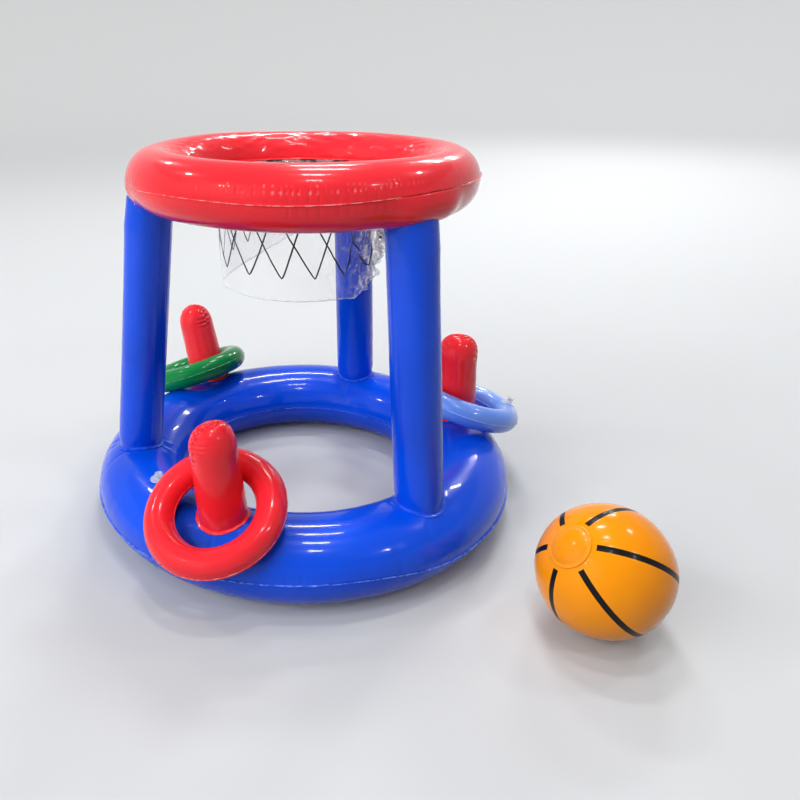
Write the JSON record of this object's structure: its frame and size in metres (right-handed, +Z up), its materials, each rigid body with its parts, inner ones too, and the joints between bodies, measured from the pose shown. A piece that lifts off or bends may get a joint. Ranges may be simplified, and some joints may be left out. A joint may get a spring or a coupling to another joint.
{
  "type": "floating basketball hoop set",
  "caption": "Inflatable floating basketball hoop with a clear net skirt, toss pegs with toss rings, and a ball.",
  "frame": {"origin": "the floor or water plane under the middle of the set's own box, hoop and ball together", "axes": "+Z up; +X from the hoop towards the ball, along the longest side of the box; the front peg points to -Y"},
  "size_m": [0.8416, 0.6414, 0.5075],
  "materials": {
    "blue_film": "glossy welded PVC film, blue",
    "red_film": "glossy welded PVC film, red",
    "green_film": "glossy welded PVC film, green",
    "pale_blue_film": "glossy welded PVC film, pale blue",
    "orange_film": "glossy welded PVC film, orange, with printed black stripes",
    "clear_film": "thin clear PVC film with a printed black net",
    "clear_valve": "soft clear moulded PVC"
  },
  "bodies": {
    "float": {"base_ring": "blue_film", "column_back": "blue_film", "column_left": "blue_film", "column_right": "blue_film", "hoop_ring": "red_film", "net_skirt": "clear_film", "peg_front": "red_film", "peg_left": "red_film", "peg_right": "red_film", "base_valve": "clear_valve", "hoop_valve": "clear_valve"},
    "base_stopper": {"base_valve_stopper": "clear_valve"},
    "hoop_stopper": {"hoop_valve_stopper": "clear_valve"},
    "ball": {"ball_shell": "orange_film", "ball_cap_upper": "orange_film", "ball_cap_lower": "orange_film", "ball_valve": "clear_valve"},
    "ball_stopper": {"ball_valve_stopper": "clear_valve"},
    "toss_ring_red": {"toss_ring_red": "red_film", "toss_ring_red_valve": "clear_valve"},
    "toss_ring_red_stopper": {"toss_ring_red_valve_stopper": "clear_valve"},
    "toss_ring_green": {"toss_ring_green": "green_film", "toss_ring_green_valve": "clear_valve"},
    "toss_ring_green_stopper": {"toss_ring_green_valve_stopper": "clear_valve"},
    "toss_ring_blue": {"toss_ring_blue": "pale_blue_film", "toss_ring_blue_valve": "clear_valve"},
    "toss_ring_blue_stopper": {"toss_ring_blue_valve_stopper": "clear_valve"}
  },
  "joints": [
    {"name": "toss_ring_red_lift", "type": "slide", "parent": "float", "child": "toss_ring_red", "axis": [-0.0199, -0.1215, 0.9924], "range_m": [0, 0.2]},
    {"name": "toss_ring_red_stopper_hinge", "type": "hinge", "parent": "toss_ring_red", "child": "toss_ring_red_stopper", "pos_m": [-0.1316, -0.19473, 0.16829], "axis": [0.4205, -0.9051, -0.0637], "range_deg": [0, 150]},
    {"name": "toss_ring_green_lift", "type": "slide", "parent": "float", "child": "toss_ring_green", "axis": [-0.2721, 0.1115, 0.9558], "range_m": [0, 0.2]},
    {"name": "toss_ring_green_stopper_hinge", "type": "hinge", "parent": "toss_ring_green", "child": "toss_ring_green_stopper", "pos_m": [-0.40579, 0.0992, 0.11362], "axis": [0.6915, 0.5211, 0.5003], "range_deg": [0, 150]},
    {"name": "toss_ring_blue_lift", "type": "slide", "parent": "float", "child": "toss_ring_blue", "axis": [-0.0282, -0.0205, 0.9994], "range_m": [0, 0.2]},
    {"name": "toss_ring_blue_stopper_hinge", "type": "hinge", "parent": "toss_ring_blue", "child": "toss_ring_blue_stopper", "pos_m": [0.18675, 0.21179, 0.11819], "axis": [-0.8337, -0.3798, 0.4009], "range_deg": [0, 150]},
    {"name": "base_stopper_hinge", "type": "hinge", "parent": "float", "child": "base_stopper", "pos_m": [-0.19851, -0.18921, 0.10757], "axis": [0.5148, 0.8568, -0.0288], "range_deg": [0, 150]},
    {"name": "hoop_stopper_hinge", "type": "hinge", "parent": "float", "child": "hoop_stopper", "pos_m": [-0.17707, 0.21649, 0.50092], "axis": [0.2623, -0.6178, 0.7413], "range_deg": [0, 150]},
    {"name": "ball_lift", "type": "slide", "parent": "float", "child": "ball", "axis": [0, 0, 1], "range_m": [0, 0.4]},
    {"name": "ball_stopper_hinge", "type": "hinge", "parent": "ball", "child": "ball_stopper", "pos_m": [0.40083, -0.08363, 0.02345], "axis": [0.1751, -0.8402, -0.5133], "range_deg": [0, 150]}
  ]
}
